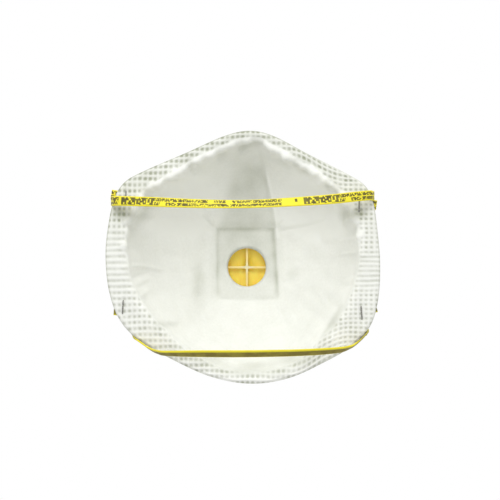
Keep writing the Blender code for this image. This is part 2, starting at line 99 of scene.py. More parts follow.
def smooth_line(points, samples):
    """A Catmull-Rom curve through the points, with its first and last points as they are."""
    p = np.array(points, float)
    padded = np.vstack([2 * p[0] - p[1], p, 2 * p[-1] - p[-2]])
    line = []
    for i in range(1, len(padded) - 2):
        a, b, c, d = padded[i - 1:i + 3]
        for k in range(samples):
            t = k / samples
            line.append(0.5 * (2 * b + (c - a) * t + (2 * a - 5 * b + 4 * c - d) * t * t
                               + (3 * b - a - 3 * c + d) * t ** 3))
    return np.array([*line, p[-1]])


def closed_outline(half, samples=24):
    """Both halves of an outline that is the same on either side of x = 0."""
    mirrored = [(-x, z) for x, z in half[-2:0:-1]]
    around = [*half, *mirrored]
    line = smooth_line([mirrored[-1], *around, around[0], around[1]], samples)
    return line[samples:-samples]


def radius_at(outline, angles):
    """The outline's distance from the panel's centre in each direction."""
    offset = outline - [0, PANEL_CENTRE_Z]
    turn = np.mod(np.arctan2(offset[:, 1], offset[:, 0]), 2 * math.pi)
    distance = np.hypot(offset[:, 0], offset[:, 1])
    return np.interp(angles, *zip(*sorted(zip(turn, distance))), period=2 * math.pi)


def superellipse(half, angles, power=PANEL_SQUARENESS):
    cos, sin = np.abs(np.cos(angles)) / half[0], np.abs(np.sin(angles)) / half[1]
    return (cos ** power + sin ** power) ** (-1 / power)


def turns(count):
    return np.arange(count) * 2 * math.pi / count


def unit(vectors):
    return vectors / np.linalg.norm(vectors, axis=-1, keepdims=True)


def run_along(points):
    """How far along the line each of its points lies."""
    return np.concatenate([[0], np.cumsum(np.linalg.norm(np.diff(points, axis=0), axis=1))])


def circle_at(angles):
    """Points of the unit circle in X and Z."""
    return np.stack([np.cos(angles), 0 * angles, np.sin(angles)], axis=-1)


RIM, WALL = closed_outline(RIM_OUTLINE), closed_outline(WALL_OUTLINE)


def bell(distance, width):
    return np.exp(-(distance / width) ** 2)


def ease(value, low, high):
    """0 below low, 1 above high, smooth between."""
    t = np.clip((value - low) / (high - low), 0, 1)
    return t * t * (3 - 2 * t)


def lumps(points, size, seed):
    """Smooth noise about 0 at each point, in lumps of the given size."""
    shift = Vector((seed * 7.3, seed * 3.1, seed * 5.7))
    return np.array([noise.noise(Vector(p) / size + shift) for p in points.reshape(-1, 3)]
                    ).reshape(points.shape[:-1])


def distance_to_line(x, z, line):
    """Each point's distance in X and Z from a line of straight stretches, its share along the line,
    and its side: above 0 on the line's left."""
    best, along, side = np.full(x.shape, 1e9), np.zeros(x.shape), np.zeros(x.shape)
    line = np.array(line, float)
    for k, (a, b) in enumerate(zip(line, line[1:])):
        d = b - a
        t = np.clip(((x - a[0]) * d[0] + (z - a[1]) * d[1]) / (d @ d), 0, 1)
        gap = np.hypot(x - a[0] - t * d[0], z - a[1] - t * d[1])
        nearer = gap < best
        best[nearer], along[nearer] = gap[nearer], (k + t[nearer]) / (len(line) - 1)
        side[nearer] = (d[0] * (z - a[1]) - d[1] * (x - a[0]))[nearer]
    return best, along, side


# ------------------------------ the cup's surface

def rim_lift(z):
    return np.where(z > 0, NOSE_LIFT, CHIN_LIFT) * (z / PEAK_REACH) ** 2


def flat_ring(radius, angles):
    return radius * np.cos(angles), PANEL_CENTRE_Z + radius * np.sin(angles)


def skew_of(points):
    """How far each point leans: the nose and chin to one side, the rim a little out of square."""
    x, z = points[..., 0], points[..., 2]
    shear = RIM_SHEAR * ease(np.hypot(x, z - PANEL_CENTRE_Z), 18, 45)
    sideways = np.where(z > 0, NOSE_SHIFT, CHIN_SHIFT) * (z / PEAK_REACH) ** 2 - shear * z
    return np.stack([sideways, 0 * x, -shear * x], axis=-1)


def skewed(points):
    return points + skew_of(points)


def unskewed(points):
    return points - skew_of(points - skew_of(points))


def foot_radius(angles):
    """Where the wall meets the flange, on a line that wanders a little."""
    return radius_at(WALL, angles) + FOOT_WANDER * lumps(circle_at(angles), 0.15, 9)


def wall_ring(degrees, angles):
    """One ring of the cup's wall, from the fillet at WALL_START to the panel at WALL_END."""
    a, start, end = (math.radians(d) for d in (degrees, WALL_START, WALL_END))
    out = (math.cos(a) - math.cos(end)) / (math.cos(start) - math.cos(end))
    forward = (math.sin(a) - math.sin(start)) / (math.sin(end) - math.sin(start))
    wall, panel = foot_radius(angles), superellipse(PANEL_HALF, angles)
    base = rim_lift(flat_ring(wall, angles)[1]) + FILLET
    x, z = flat_ring(panel + (wall - panel) * out, angles)
    return np.stack([x, base + (PANEL_DEPTH - base) * forward, z], axis=1)


def cup_grid(around, flange, fillet, wall, panel):
    """Rings of the cup's outer surface from the flange's edge to the port, each with around points."""
    angles = turns(around)
    rim, foot = radius_at(RIM, angles), foot_radius(angles)
    rings = []
    for t in np.linspace(0, 1, flange):
        x, z = flat_ring(rim + (foot + FILLET - rim) * t, angles)
        rings.append(np.stack([x, rim_lift(z), z], axis=1))
    for a in np.linspace(0, math.pi / 2, fillet)[1:-1]:
        x, z = flat_ring(foot + FILLET * (1 - math.sin(a)), angles)
        lift = (rim_lift(flat_ring(foot, angles)[1]) * math.sin(a)
                + rim_lift(z) * (1 - math.sin(a)))
        rings.append(np.stack([x, lift + FILLET * (1 - math.cos(a)), z], axis=1))
    rings += [wall_ring(d, angles) for d in np.linspace(WALL_START, WALL_END, wall)]
    port = np.stack([PORT_RADIUS * np.cos(angles), np.full(around, PANEL_DEPTH),
                     PORT_Z + PORT_RADIUS * np.sin(angles)], axis=1)
    edge = rings[-1]
    rings += [edge + (port - edge) * t for t in np.linspace(0, 1, panel)[1:]]
    return np.stack(rings)


def grid_normals(grid):
    """Outward directions of a ring grid, eased across its corners."""
    along = np.gradient(grid, axis=0)
    around = np.roll(grid, -1, axis=1) - np.roll(grid, 1, axis=1)
    normal = unit(np.cross(along, around))
    normal *= np.sign(np.median(normal[0, :, 1]))
    for _ in range(4):
        inner = (normal[:-2] + 2 * normal[1:-1] + normal[2:]) / 4
        normal = np.concatenate([normal[:1], inner, normal[-1:]])
    return unit(normal)


# Ridges of the moulded cup, which stand towards the wearer: a line in X and Z, its height, and its
# width to the left and to the right of its direction
RIDGES = (
    (((17, 11), (15.4, 25), (12.8, 38), (9.5, 52)), 1.0, 1.7, 8.0),
    (((-17.6, 13), (-12, 31), (-5.5, 53)), 0.7, 5.0, 3.0),
    (((-16.5, 13.7), (-25.4, 25.3), (-35, 32.5)), 1.1, 4.0, 1.4),
    (((16.8, 14), (20.8, 18), (31.7, 19.8), (44, 22.5)), 1.2, 4.0, 1.4),
    (((15, -25), (14.5, -34)), 0.4, 1.2, 2.5),
    (((-20.5, 14), (-20.8, -4), (-20.5, -24)), 0.55, 2.6, 1.8),
    (((20.5, 14), (21.5, -4), (22, -24)), 0.45, 1.8, 2.4),
    (((30, -3.2), (21.9, -13.5)), 0.6, 1.3, 2.2),
    (((-17, -24), (-24, -36)), 0.5, 3.0, 3.0),
    (((18, -24), (27, -37)), 0.4, 3.0, 3.0),
)
# Folds that only the soft liner shows
LINER_FOLDS = (
    (((-25.5, -3.5), (-25.5, -22.7)), -0.5, 1.8, 1.8),
    (((-58, -4.5), (-52, -5.2), (-44, -7.5)), 0.75, 1.3, 0.9),
    (((-57.5, -11), (-50, -8.0)), -0.55, 1.0, 1.6),
    (((-56.5, -17), (-49, -12.5)), -0.5, 1.0, 1.8),
    (((-55, -22), (-49.5, -17)), 0.5, 1.0, 1.6),
    (((-52.5, -28.5), (-50, -33.5)), -0.5, 1.2, 1.2),
    (((-46.5, -34), (-34, -35.5)), -0.6, 1.0, 1.8),
    (((55, -25), (49, -35), (43.5, -43.5)), -0.55, 2.2, 1.2),
    (((58.5, -11), (52, -14.5)), 0.45, 1.0, 1.6),
    (((-48, 19), (-38, 21.5), (-27, 21)), 0.4, 1.2, 1.8),
    (((50, 8), (58, 9.5)), 0.4, 1.0, 1.0),
    (((50, 1), (59, 2.5)), 0.35, 0.9, 0.9),
    (((38, -18), (44, -27)), 0.35, 1.6, 1.6),
    (((-36, 5), (-30, -8)), 0.35, 2.0, 2.0),
    (((33, 12), (42, 2)), 0.3, 2.2, 2.2),
)
# Dents beside the upper staples: x, z, depth, radius
DENTS = ((51.0, 22.0, 0.6, 3.2), (-53.5, 21.5, 0.6, 3.2), (-56.5, -31, 0.4, 3.0), (55.5, -33, 0.4, 3.0))


def ridge_field(x, z, lines):
    total = np.zeros(x.shape)
    for line, height, left, right in lines:
        gap, along, side = distance_to_line(x, z, line)
        taper = np.sin(math.pi * np.clip(along, 0, 1)) ** 0.5
        total += height * bell(gap, np.where(side > 0, left, right)) * taper
    return total


def shaped(grid):
    """The cup's surface with its soft unevenness: slight lumps, broad valleys and creases."""
    normal = grid_normals(grid)
    x, z = grid[..., 0], grid[..., 2]
    height = grid[..., 1] - rim_lift(z)
    reach = np.maximum(np.abs(x) / PANEL_HALF[0], np.abs(z - PANEL_CENTRE_Z) / PANEL_HALF[1])
    on_wall = ease(height, 2, 9) * ease(reach, 1.02, 1.25)
    move = on_wall * (1.1 * lumps(grid, 26, 1) + 0.35 * lumps(grid, 9, 2))
    for side in (-1, 1):
        gap = distance_to_line(x, z, ((58 * side, 27), (30 * side, 2)))[0]
        move -= on_wall * 1.3 * bell(gap, 8)
    move -= on_wall * ridge_field(x, z, RIDGES)
    return skewed(grid + normal * move[..., None])


def thickness_share(grid):
    """How thin the layers are pressed, ring by ring, from the welded rim inwards."""
    inwards = np.linalg.norm(grid - grid[:1], axis=2)
    return RIM_PINCH + (1 - RIM_PINCH) * ease(inwards, 0.2, PINCH_WIDTH)


def face_at(grid, depth, share):
    """The surface at a depth below the cup's outer face, drawn in towards the middle at the rim."""
    middle = WALL_THICKNESS / 2
    below = middle + (depth - middle) * share
    return grid - grid_normals(grid) * below[..., None]


def embossing(grid):
    """How deep each point of the flange is pressed: rows of pits, drawn out into bars at the sides."""
    x, z = grid[..., 0] + 0.45 * lumps(grid, 9, 3), grid[..., 2] + 0.5 * lumps(grid, 11, 4)
    closer = 1 + 0.27 * ease(x, 25, 55)
    pit_x = 0.5 + 0.5 * np.cos(2 * math.pi * x / PIT_PITCH[0])
    pit_z = 0.5 + 0.5 * np.cos(2 * math.pi * z * closer / PIT_PITCH[1])
    drawn = (ease(-x, 54, 59) * ease(z, -28, -10) * (1 - ease(z, 10, 16))
             + ease(x, 56, 61) * ease(z, -20, -12) * (1 - ease(z, 0, 5)))
    netted = ease(np.abs(z), 26, 44)
    pit_x += (1 - pit_x) * 0.5 * drawn
    pits = pit_x ** ((0.9 - 0.45 * netted) * (1 - 0.8 * drawn)) * pit_z ** (1.3 - 0.5 * netted)
    pits *= 1 - 0.35 * drawn
    return np.clip(pits * (1 + 0.6 * lumps(grid, 4, 5)), 0, 1.2)


def beyond_foot(grid):
    """How far each point lies outside the wall's foot."""
    plain = unskewed(grid)
    out = np.hypot(plain[..., 0], plain[..., 2] - PANEL_CENTRE_Z)
    return out - foot_radius(turns(grid.shape[1]))


def low_enough(grid):
    """Whether each point may belong to the flange."""
    return grid[..., 1] - rim_lift(grid[..., 2]) < 6


# The valve plate's outline, inside which the liner gets painted shade, down to this far below the panel
PLATE_OUTLINE = ((-16.4, 15.4), (14.6, 15.4), (17.4, -23.5), (-16.4, -23.5))
PLATE_REACH = 8.0


def near_panel(grid):
    return grid[..., 1] > PANEL_DEPTH - PLATE_REACH


def plate_gap_and_shade(grid):
    """Distance of each point from the plate's outline, and the share of painted shade: 1 inside it, 0
    outside.
    """
    x, z = grid[..., 0], grid[..., 2]
    gap = distance_to_line(x, z, [*PLATE_OUTLINE, PLATE_OUTLINE[0]])[0]
    (left, top), (right_top, _), (right_low, low), _ = PLATE_OUTLINE
    right = right_top + (right_low - right_top) * (top - z) / (top - low)
    within = np.minimum(np.minimum(x - left, right - x), np.minimum(top - z, z - low))
    return gap, ease(within, -1.2, 0.6) * near_panel(grid)


STAPLES = {  # x, z and tilt in degrees of each staple's crown
    "upper_left": (-60.4, 30.6, 2), "upper_right": (60.0, 26.6, 1),
    "lower_left": (-61.7, -25.9, 4), "lower_right": (61.2, -28.6, -5),
}


def staple_place(name):
    """The middle of a staple's crown and the crown's direction, in X and Z."""
    x, z, tilt = STAPLES[name]
    crown = np.array([math.sin(math.radians(tilt)), math.cos(math.radians(tilt))])
    return np.array([x, z]), crown


def staple_dents(grid):
    dents = np.zeros(grid.shape[:2])
    for name in STAPLES:
        centre, crown = staple_place(name)
        ends = centre - crown * CROWN_HALF, centre + crown * CROWN_HALF
        dents += bell(distance_to_line(grid[..., 0], grid[..., 2], ends)[0], 1.6)
    return dents


# ------------------------------ meshes

def linked(name, data):
    """An object with this data, placed in the scene."""
    obj = bpy.data.objects.new(name, data)
    bpy.context.scene.collection.objects.link(obj)
    return obj


def new_object(name, mesh, mat, body):
    obj = linked(name, mesh)
    if mat:
        obj.data.materials.append(mat)
    if body:
        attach(obj, body)
    return obj


def mesh_from(name, points, faces, smooth=True):
    mesh = bpy.data.meshes.new(name)
    mesh.from_pydata([Vector(p) * MM for p in points], [], [tuple(map(int, f)) for f in faces])
    mesh.validate()
    bm = bmesh.new()
    bm.from_mesh(mesh)
    bmesh.ops.recalc_face_normals(bm, faces=bm.faces)
    bm.to_mesh(mesh)
    bm.free()
    if smooth:
        mesh.shade_smooth()
    return mesh


def grid_faces(rings, around, first=0):
    i = np.arange(around)
    j = (i + 1) % around
    return [f for r in range(rings - 1) for f in
            zip(first + r * around + i, first + (r + 1) * around + i,
                first + (r + 1) * around + j, first + r * around + j)]


def two_faced_sheet(name, face, back):
    """A closed sheet from a seen ring grid and a hidden one that may be coarser."""
    n, m = face.shape[1], back.shape[1]
    step = n // m
    points = np.vstack([face.reshape(-1, 3), back.reshape(-1, 3)])
    first = face.shape[0] * n
    faces = grid_faces(face.shape[0], n) + grid_faces(back.shape[0], m, first)
    for ring_face, ring_back in ((0, 0), (face.shape[0] - 1, back.shape[0] - 1)):
        for k in range(m):
            upper = [ring_face * n + (k * step + s) % n for s in range(step + 1)]
            lower = [first + ring_back * m + (k + 1) % m, first + ring_back * m + k]
            faces.append((*upper, *lower))
    return mesh_from(name, points, faces)


def store(mesh, name, values):
    """Keep one number for each of the mesh's first points."""
    data = np.zeros(len(mesh.vertices), np.float32)
    data[:values.size] = values.ravel()
    mesh.attributes.new(name, "FLOAT", "POINT").data.foreach_set("value", data)


def section_points(half_width, half_thickness, flats=8, caps=4):
    """A flat strip's rounded section as (across, out)."""
    flat = half_width - half_thickness
    points = [(a, half_thickness) for a in np.linspace(-flat, flat, flats)]
    points += [(flat + half_thickness * math.sin(t), half_thickness * math.cos(t))
               for t in np.linspace(0, math.pi, caps + 2)[1:-1]]
    points += [(-a, -b) for a, b in points]
    return np.array(points)


def strip(name, centres, across, widths, thickness):
    """A flat strip of rounded section along a line, with UVs: decimetres along and 0 to 1 across."""
    along = unit(np.gradient(centres, axis=0))
    out = unit(np.cross(along, across))
    across = unit(np.cross(out, along))
    rows = []
    for c, a, o, w in zip(centres, across, out, widths):
        section = section_points(w / 2, min(thickness, w * 0.98) / 2)
        rows.append(c + section[:, :1] * a + section[:, 1:] * o)
    rows = np.stack(rows)
    n = rows.shape[1]
    faces = grid_faces(len(rows), n)
    faces.append(tuple(range(n)))
    faces.append(tuple(range((len(rows) - 1) * n, len(rows) * n)))
    mesh = mesh_from(name, rows.reshape(-1, 3), faces)
    run = run_along(centres)
    uv = mesh.uv_layers.new(name="strip")
    share = section_points(STRAP_WIDTH / 2, thickness / 2)[:, 0] / STRAP_WIDTH + 0.5
    for loop in mesh.loops:
        row, k = divmod(loop.vertex_index, n)
        uv.data[loop.index].uv = (run[row] / 100, share[k])
    return mesh


# ------------------------------ materials

class Nodes:
    """Short calls for the nodes of one tree."""

    def __init__(self, tree):
        self.tree = tree

    def node(self, kind, inputs=(), **settings):
        node = self.tree.nodes.new(kind)
        for key, value in settings.items():
            setattr(node, key, value)
        for socket, value in dict(inputs).items():
            self.feed(node.inputs[socket], value)
        return node

    def feed(self, socket, value):
        """Link the socket to another node's output, or set it to a plain value."""
        if isinstance(value, bpy.types.NodeSocket):
            self.tree.links.new(value, socket)
        else:
            socket.default_value = (*value, 1) if socket.type == "RGBA" else value

    def place(self, scale=(1, 1, 1), turn=(0, 0, 0)):
        """The point on the object, stretched and turned."""
        where = self.node("ShaderNodeTexCoord").outputs["Object"]
        return self.node("ShaderNodeMapping", {"Vector": where, "Scale": scale,
                                               "Rotation": turn}).outputs[0]

    def noise(self, vector, scale, detail=2.0, rough=0.5):
        return self.node("ShaderNodeTexNoise", {"Vector": vector, "Scale": scale, "Detail": detail,
                                                "Roughness": rough}).outputs[0]

    def math(self, operation, a, b=0.0, c=0.0):
        return self.node("ShaderNodeMath", {0: a, 1: b, 2: c}, operation=operation).outputs[0]

    def product(self, first, *others):
        for other in others:
            first = self.math("MULTIPLY", first, other)
        return first

    def weighted(self, *terms):
        """The sum of values times their weights."""
        total = 0.0
        for value, weight in terms:
            total = self.math("MULTIPLY_ADD", value, weight, total)
        return total

    def span(self, value, low, high, to_low=0.0, to_high=1.0):
        return self.node("ShaderNodeMapRange", {"Value": value, "From Min": low, "From Max": high,
                                                "To Min": to_low, "To Max": to_high}).outputs[0]

    def mix(self, share, a, b):
        return self.node("ShaderNodeMix", {0: share, 6: a, 7: b}, data_type="RGBA").outputs[2]

    def stored(self, name):
        return self.node("ShaderNodeAttribute", attribute_name=name).outputs["Fac"]

    def bump(self, height, strength, distance, below=None):
        inputs = {"Height": height, "Strength": strength, "Distance": distance}
        if below:
            inputs["Normal"] = below
        return self.node("ShaderNodeBump", inputs).outputs[0]


class Shading(Nodes):
    """A material with its node tree."""

    def __init__(self, name):
        self.material = bpy.data.materials.new(name)
        self.material.use_nodes = True
        super().__init__(self.material.node_tree)
        self.shader = self.tree.nodes["Principled BSDF"]

    def finish(self, **sockets):
        for name, value in sockets.items():
            self.feed(self.shader.inputs[name.replace("_", " ")], value)
        return self.material


def nonwoven(name, light, dark, sheen):
    """Spunbonded fabric: matted fibres of several directions, faint clouds, and pressed pits darkened
    partly by compressed fibres and partly as painted shade; the stored dark adds painted shade or light.
    """
    s = Shading(name)
    clouds = s.noise(s.place(), 90, 3)
    tufts = s.noise(s.place(), 700, 4, 0.6)
    fibres = []
    for turn, scale in (((0, 0.5, 0), (4200, 4200, 500)), ((0, 1.6, 0.3), (4200, 3000, 450)),
                        ((0, 2.6, 0.8), (3600, 4200, 520))):
        fibres.append(s.noise(s.place(scale, turn), 1, 2, 0.55))
    matted = s.math("MAXIMUM", s.math("MAXIMUM", fibres[0], fibres[1]), fibres[2])
    # the pits darken as compressed fibres and as painted shade; the stored dark is painted shade, negative
    # for painted light
    tone = s.weighted((s.span(clouds, 0.3, 0.7), 0.10), (s.span(tufts, 0.35, 0.65), 0.10),
                      (s.span(matted, 0.45, 0.75, 1.0, 0.0), 0.10), (s.stored("press"), 0.95),
                      (s.stored("dark"), 1.0))
    colour = s.mix(s.math("MINIMUM", s.math("MULTIPLY", tone, 0.6), 1.0), light, dark)
    rough = s.math("MULTIPLY_ADD", tufts, 0.12, 0.84)
    fuzz = s.bump(matted, 0.35, 0.00012)
    fuzz = s.bump(tufts, 0.30, 0.0003, fuzz)
    return s.finish(Base_Color=colour, Roughness=rough, Normal=fuzz, Sheen_Weight=sheen,
                    Sheen_Roughness=0.6, Specular_IOR_Level=0.2)


def elastic(name, ink_colour, density, words_share, rows_end, rows, ink_range, shade_stretches=()):
    """Ribbed yellow elastic that carries rows of small random marks, with a stretch of bold ones.

    rows_end is where the small marks end within each PRINT_PERIOD, rows are where they lie across,
    the last argument gives the places, as (middle, reach) along the strap, painted darker as shade
    where the strap bends round the rim."""
    s = Shading(name)
    uv = s.node("ShaderNodeUVMap", uv_map="strip").outputs[0]
    parts = s.node("ShaderNodeSeparateXYZ", {0: uv})
    run, share = s.math("MULTIPLY", parts.outputs[0], 100.0), parts.outputs[1]
    ribs = s.math("SINE", s.math("MULTIPLY", share, 2 * math.pi * RIB_COUNT))
    stitch = s.math("SINE", s.math("MULTIPLY", run, 2 * math.pi / STITCH_LENGTH))
    mottle = s.noise(s.place(), 260, 4)
    edge = s.math("ABSOLUTE", s.math("SUBTRACT", share, 0.5))
    # darker towards the edges, mottled, and darker in the rib hollows as painted shade
    tone = s.weighted((s.span(edge, 0.36, 0.5), 0.30), (s.span(mottle, 0.3, 0.7), 0.22),
                      (s.span(ribs, -1, 1, 1, 0), 0.10))
    colour = s.mix(tone, (0.93, 0.82, 0.022), (0.66, 0.56, 0.010))
    # painted shade where the strap bends round the rim
    for middle, reach in shade_stretches:
        away = s.math("ABSOLUTE", s.math("SUBTRACT", run, middle))
        colour = s.mix(s.span(away, reach / 2, reach, 0.8, 0), colour, (0.30, 0.27, 0.055))
    place = s.math("MODULO", s.math("ADD", run, PRINT_START), PRINT_PERIOD)

    def marks(size, chance):
        """Blocks of one size, along and across, that are inked by chance."""
        column, row = (s.math("FLOOR", s.math("DIVIDE", value, side))
                       for value, side in zip((place, share), size))
        spot = s.node("ShaderNodeCombineXYZ", {0: column, 1: row, 2: size[0]}).outputs[0]
        random = s.node("ShaderNodeTexWhiteNoise", {"Vector": spot}, noise_dimensions="3D").outputs[0]
        return s.math("LESS_THAN", random, chance)

    def within(value, low, high):
        return s.product(s.math("GREATER_THAN", value, low), s.math("LESS_THAN", value, high))

    lines = s.math("MAXIMUM", *(within(share, *row) for row in rows))
    written = s.math("MAXIMUM", within(place, BOLD_LENGTH, rows_end),
                     s.math("LESS_THAN", run, PRINT_PERIOD - PRINT_START - START_GAP))
    small = s.product(marks(SMALL_MARK, density), marks(WORD, words_share), lines, written)
    bold = s.product(marks(BOLD_MARK, density), within(share, rows[0][0], rows[1][1]),
                     s.math("LESS_THAN", place, BOLD_LENGTH))
    dot = s.product(within(place, *(PRINT_PERIOD - d for d in DOT_FROM_END)), within(share, *DOT_ACROSS))
    ink = s.math("MULTIPLY", s.math("MAXIMUM", s.math("MAXIMUM", small, bold), dot),
                 s.span(mottle, 0.25, 0.6, *ink_range))
    colour = s.mix(ink, colour, ink_colour)
    rough = s.span(mottle, 0.2, 0.8, 0.42, 0.62)
    relief = s.bump(ribs, 0.30, 0.00012)
    relief = s.bump(stitch, 0.12, 0.00006, relief)
    return s.finish(Base_Color=colour, Roughness=rough, Normal=relief, Sheen_Weight=0.08)


def valve_cap_plastic():
    """Slightly cloudy off-white plastic with fine mould grain."""
    s = Shading("valve_cap_plastic")
    clouds = s.noise(s.place(), 160, 3)
    grain = s.noise(s.place(), 2600, 3)
    colour = s.mix(s.span(clouds, 0.3, 0.7), (0.88, 0.875, 0.84), (0.83, 0.82, 0.77))
    return s.finish(Base_Color=colour, Roughness=s.math("MULTIPLY_ADD", grain, 0.16, 0.34),
                    Normal=s.bump(grain, 0.08, 0.0001))


def seat_plastic():
    """The valve seat's plastic, painted with the amber light that the flap casts inside its collar."""
    s = Shading("valve_seat_plastic")
    centre = s.node("ShaderNodeMapping", {"Vector": s.node("ShaderNodeTexCoord").outputs["Object"],
                                          "Location": (0, 0, -PORT_Z * MM), "Scale": (1, 0, 1)})
    radius = s.node("ShaderNodeVectorMath", {0: centre.outputs[0]}, operation="LENGTH").outputs["Value"]
    clouds = s.noise(s.place(), 220, 3)
    grain = s.noise(s.place(), 2600, 3)
    plain = s.mix(s.span(clouds, 0.3, 0.7), (0.90, 0.88, 0.80), (0.84, 0.82, 0.72))
    # painted amber light from the flap, within the collar's bore
    amber_glow = s.mix(s.span(radius, 0.0012, 0.0045), (0.80, 0.73, 0.46), (0.86, 0.70, 0.28))
    colour = s.mix(s.span(radius, 0.0102, 0.0108, 1, 0), plain, amber_glow)
    return s.finish(Base_Color=colour, Roughness=s.math("MULTIPLY_ADD", grain, 0.15, 0.38),
                    Normal=s.bump(grain, 0.08, 0.0001))


def flap_rubber():
    """Amber silicone, faintly streaked."""
    s = Shading("flap_rubber")
    streaks = s.noise(s.place((1, 1, 0.35)), 420, 4)
    grain = s.noise(s.place(), 3000, 2)
    colour = s.mix(s.span(streaks, 0.3, 0.7), (1.0, 0.77, 0.115), (0.95, 0.66, 0.078))
    return s.finish(Base_Color=colour, Roughness=s.math("MULTIPLY_ADD", grain, 0.2, 0.35),
                    Normal=s.bump(streaks, 0.10, 0.0002), Subsurface_Weight=0.25,
                    Subsurface_Scale=0.002)


def drawn_wire():
    s = Shading("drawn_steel_wire")
    scratch = s.noise(s.place((300, 300, 3000)), 1, 3)
    colour = s.mix(s.span(scratch, 0.35, 0.65), (0.40, 0.39, 0.36), (0.17, 0.17, 0.16))
    return s.finish(Base_Color=colour, Roughness=s.span(scratch, 0.3, 0.7, 0.28, 0.48), Metallic=1.0,
                    Normal=s.bump(scratch, 0.15, 0.00005))


def satin_aluminium():
    s = Shading("satin_aluminium")
    brush = s.noise(s.place((120, 2600, 2600)), 1, 4)
    clouds = s.noise(s.place(), 180, 3)
    colour = s.mix(s.span(clouds, 0.3, 0.7), (0.86, 0.86, 0.87), (0.74, 0.74, 0.75))
    return s.finish(Base_Color=colour, Roughness=s.span(brush, 0.3, 0.7, 0.26, 0.46), Metallic=1.0,
                    Normal=s.bump(brush, 0.12, 0.00005))


# ------------------------------ the three layers

# Rings in the flange, the fillet, the wall and the panel of a seen face and a hidden one
FINE_RINGS, COARSE_RINGS = (26, 12, 56, 12), (8, 6, 22, 5)
LINER_PORT = 10.35             # the liner's edge lies on the valve's collar


def fine_cup():
    return shaped(cup_grid(FINE, *FINE_RINGS))


def coarse_cup():
    return shaped(cup_grid(COARSE, *COARSE_RINGS))


def crisp_foot(face, flange, fillet):
    """Turn the seen face sharply where the flange meets the upper wall, and softly lower down."""
    first, last = flange - 1, flange + fillet - 2
    low, high = face[first].copy(), face[last].copy()
    power = 1.0 + 0.2 * (1 - ease(low[:, 2], -14, 14))
    for k in range(first + 1, last):
        a = math.pi / 2 * (k - first) / (last - first)
        inwards, forward = math.sin(a) ** power, 1 - math.cos(a) ** power
        face[k] = low + (high - low) * np.stack([inwards, forward, inwards], axis=1)
    return face


# Patches of painted shade on the liner, under the straps, beside the staples and in folds and hollows,
# and of painted light where the strength is negative: x, z, half width, half height, strength
PAINTED_SHADE_AND_LIGHT = (
    (-62.5, 23, 6.0, 3.8, 0.80), (-53, 21.5, 4.5, 2.6, 0.50), (60.5, 22.5, 3.8, 3.4, 0.75),
    (53, 21.5, 4.5, 4.0, 0.62), (4, -57.5, 15, 3.2, 0.45), (-15, -53.5, 8, 3.0, 0.40),
    (26, -53.5, 11, 3.2, 0.45), (-25.5, -13.5, 3.8, 10, 0.42), (-17.8, -8, 2.4, 9, 0.20),
    (24.5, -9.5, 3.5, 3.5, 0.20), (3, 49, 12, 7, 0.22), (-36, 17, 18, 7, -0.3),
    (38, 17, 16, 8, -0.35), (-1, 16.6, 17, 2.2, 0.34), (-66, 17, 5, 9, 0.16),
    (66, 14, 4, 12, 0.22), (34, 30, 15, 13, -0.50), (-30, 34, 13, 10, -0.40),
    (-43, -43, 9, 4, -0.25), (50, -43.5, 8, 5, -0.60), (-21, -60, 9, 4, -0.30),
    (30, -60, 8, 4, -0.25), (2, -63.5, 26, 2.4, -0.5),
)
# Long bands of painted shade, given like the ridges with a strength for the height
SHADES = (
    (((52, -24), (46, -34), (40, -43)), 0.55, 2.6, 1.2),
    (((-46.5, -34), (-34, -35.5)), 0.4, 1.0, 1.8),
    (((-17.5, 16), (-24, 23)), 0.35, 0.8, 1.6),
)
# Where the roll along the upper edge swells: x, z, height, radius
SWELLS = ((41, 36, 1.3, 11), (-31, 45, 1.1, 9), (24, 50, 0.5, 8))


def crown_facet(x, z):
    """1 between the two long ridges above the valve's plate, sharp on the right and faint on the left:
    the share of painted shade on this facet, which faces down, away from the lamp.
    """
    rise = np.clip((z - 16) / 36, 0, 1)
    right, left = 16.3 - 6.5 * rise ** 1.2, -16.5 + 9 * rise
    return ease(right - x, -0.5, 0.7) * ease(x - left, -1, 7) * ease(z, 13, 19) * (1 - ease(z, 38, 56))


def bead_and_flat(cup, level, from_corner, z):
    """The roll of fabric beside the flange, wide and high above, and 1 on the flange's flat part."""
    upper = 0.15 + 0.85 * ease(z, -14, 14)
    gap = np.hypot(np.maximum(from_corner, 0), np.maximum(level, 0))
    wander = lumps(cup, 5.5, 6)
    spread = np.clip(1.7 + 3.4 * lumps(cup, 4.5, 12), 0.6, 3.6) * (1 - 0.45 * ease(z, 50, 60))
    bead = (bell(gap - 0.5, np.where(from_corner > 0, spread, 1.3)) * upper
            * np.clip(1 + 2 * wander, 0.2, 2))
    flat = (1 - ease(level, 1.2 - 0.95 * upper, 3.6 - 2.8 * upper)) * ease(
        gap, 0.9 * spread * upper - 0.2, 0.5 + 1.35 * spread * upper)
    return bead, flat


def wall_gathers(height, x, z):
    """Upright folds under the upper flange, gone at the nose's right, where the fabric is taut."""
    around = circle_at(np.broadcast_to(turns(height.shape[1]), height.shape))
    down = np.stack([0 * height, height, 0 * height], axis=-1)
    folds = (lumps(8.0 * around + down / 24, 1.0, 10) * (1 - ease(height, 6, 19))
             + 0.3 * lumps(17 * around + down / 9, 1.0, 14) * (1 - ease(height, 3, 12)))
    return folds * ease(z, 2, 28) * (1 - bell(np.hypot(x - 10, z - 55), 6))


